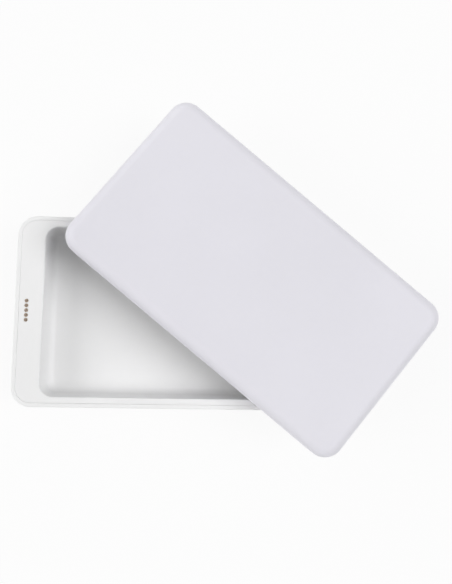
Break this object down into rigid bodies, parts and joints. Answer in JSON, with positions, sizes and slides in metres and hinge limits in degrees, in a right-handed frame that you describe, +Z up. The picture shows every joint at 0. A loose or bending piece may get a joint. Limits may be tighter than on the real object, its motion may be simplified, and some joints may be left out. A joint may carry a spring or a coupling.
{
  "type": "uv sanitizer box for phones",
  "caption": "Flat white box that cleans a phone with ultraviolet light: a base with a phone-sized cavity and sprung gold contacts, and a loose lid that lies askew on its deck.",
  "frame": {"origin": "under the middle of the base, 1 mm below its flat underside, at the level of the soles of its feet", "axes": "+X along the base's length, away from the end with the contacts and the button; +Y to the back; +Z up"},
  "size_m": [0.2569, 0.2104, 0.0503],
  "materials": {
    "shell_white": "satin",
    "tray_white": "satin",
    "liner_white": "satin",
    "lid_white": "fine matt",
    "foot_rubber": "matt",
    "steel": "plain",
    "magnet": "plated",
    "gold": "plated",
    "black_plastic": "matt",
    "board_green": "satin",
    "copper": "lacquered",
    "ferrite": "matt",
    "clear": "polished",
    "lamp_glass": "frosted",
    "holder_white": "satin",
    "mirror": "bright",
    "ribbon": "satin",
    "button_grey": "satin"
  },
  "bodies": {
    "base": {"base_magnet_back_left": "magnet", "base_magnet_back_right": "magnet", "base_magnet_front_left": "magnet", "base_magnet_front_right": "magnet", "base_ribbon": "ribbon", "base_screw_back_left": "steel", "base_screw_back_right": "steel", "base_screw_front_left": "steel", "base_screw_front_right": "steel", "base_shell": "shell_white", "base_tray": "tray_white", "charging_coil": "copper", "contact_barrel_1": "gold", "contact_barrel_2": "gold", "contact_barrel_3": "gold", "contact_barrel_4": "gold", "contact_barrel_5": "gold", "contact_block": "black_plastic", "ferrite_sheet": "ferrite", "foot_back_left": "foot_rubber", "foot_back_right": "foot_rubber", "foot_front_left": "foot_rubber", "foot_front_right": "foot_rubber", "light_pipe": "clear", "main_board": "board_green", "switch_body": "black_plastic", "usb_socket": "steel"},
    "lid_carrier": {"liner_screw_front_right": "steel"},
    "lid": {"contact_pad_1": "gold", "contact_pad_2": "gold", "contact_pad_3": "gold", "contact_pad_4": "gold", "contact_pad_5": "gold", "lamp_holder_left": "holder_white", "lamp_holder_right": "holder_white", "lid_driver_board": "board_green", "lid_liner": "liner_white", "lid_magnet_back_left": "magnet", "lid_magnet_back_right": "magnet", "lid_magnet_front_left": "magnet", "lid_magnet_front_right": "magnet", "lid_shell": "lid_white", "liner_screw_back_left": "steel", "liner_screw_back_right": "steel", "liner_screw_front_left": "steel", "reflector": "mirror", "uv_lamp_back": "lamp_glass", "uv_lamp_front": "lamp_glass"},
    "button": {"power_button": "button_grey", "switch_plunger": "button_grey"},
    "contact_1": {"contact_pin_1": "gold"},
    "contact_2": {"contact_pin_2": "gold"},
    "contact_3": {"contact_pin_3": "gold"},
    "contact_4": {"contact_pin_4": "gold"},
    "contact_5": {"contact_pin_5": "gold"}
  },
  "joints": [
    {"name": "lid_lift", "type": "slide", "parent": "base", "child": "lid_carrier", "axis": [0, 0, 1], "range_m": [0, 0.12]},
    {"name": "lid_swing", "type": "hinge", "parent": "lid_carrier", "child": "lid", "pos_m": [0.05135, -0.046, 0.0273], "axis": [0, 0, -1], "range_deg": [-38.7, 20]},
    {"name": "button_press", "type": "slide", "parent": "base", "child": "button", "axis": [1, 0, 0], "range_m": [0, 0.0005], "stiffness_N_per_m": 400, "springref_m": -0.001},
    {"name": "contact_press_1", "type": "slide", "parent": "base", "child": "contact_1", "axis": [0, 0, 1], "range_m": [-0.0008, 0], "stiffness_N_per_m": 200, "springref_m": 0.0005},
    {"name": "contact_press_2", "type": "slide", "parent": "base", "child": "contact_2", "axis": [0, 0, 1], "range_m": [-0.0008, 0], "stiffness_N_per_m": 200, "springref_m": 0.0005},
    {"name": "contact_press_3", "type": "slide", "parent": "base", "child": "contact_3", "axis": [0, 0, 1], "range_m": [-0.0008, 0], "stiffness_N_per_m": 200, "springref_m": 0.0005},
    {"name": "contact_press_4", "type": "slide", "parent": "base", "child": "contact_4", "axis": [0, 0, 1], "range_m": [-0.0008, 0], "stiffness_N_per_m": 200, "springref_m": 0.0005},
    {"name": "contact_press_5", "type": "slide", "parent": "base", "child": "contact_5", "axis": [0, 0, 1], "range_m": [-0.0008, 0], "stiffness_N_per_m": 200, "springref_m": 0.0005}
  ]
}
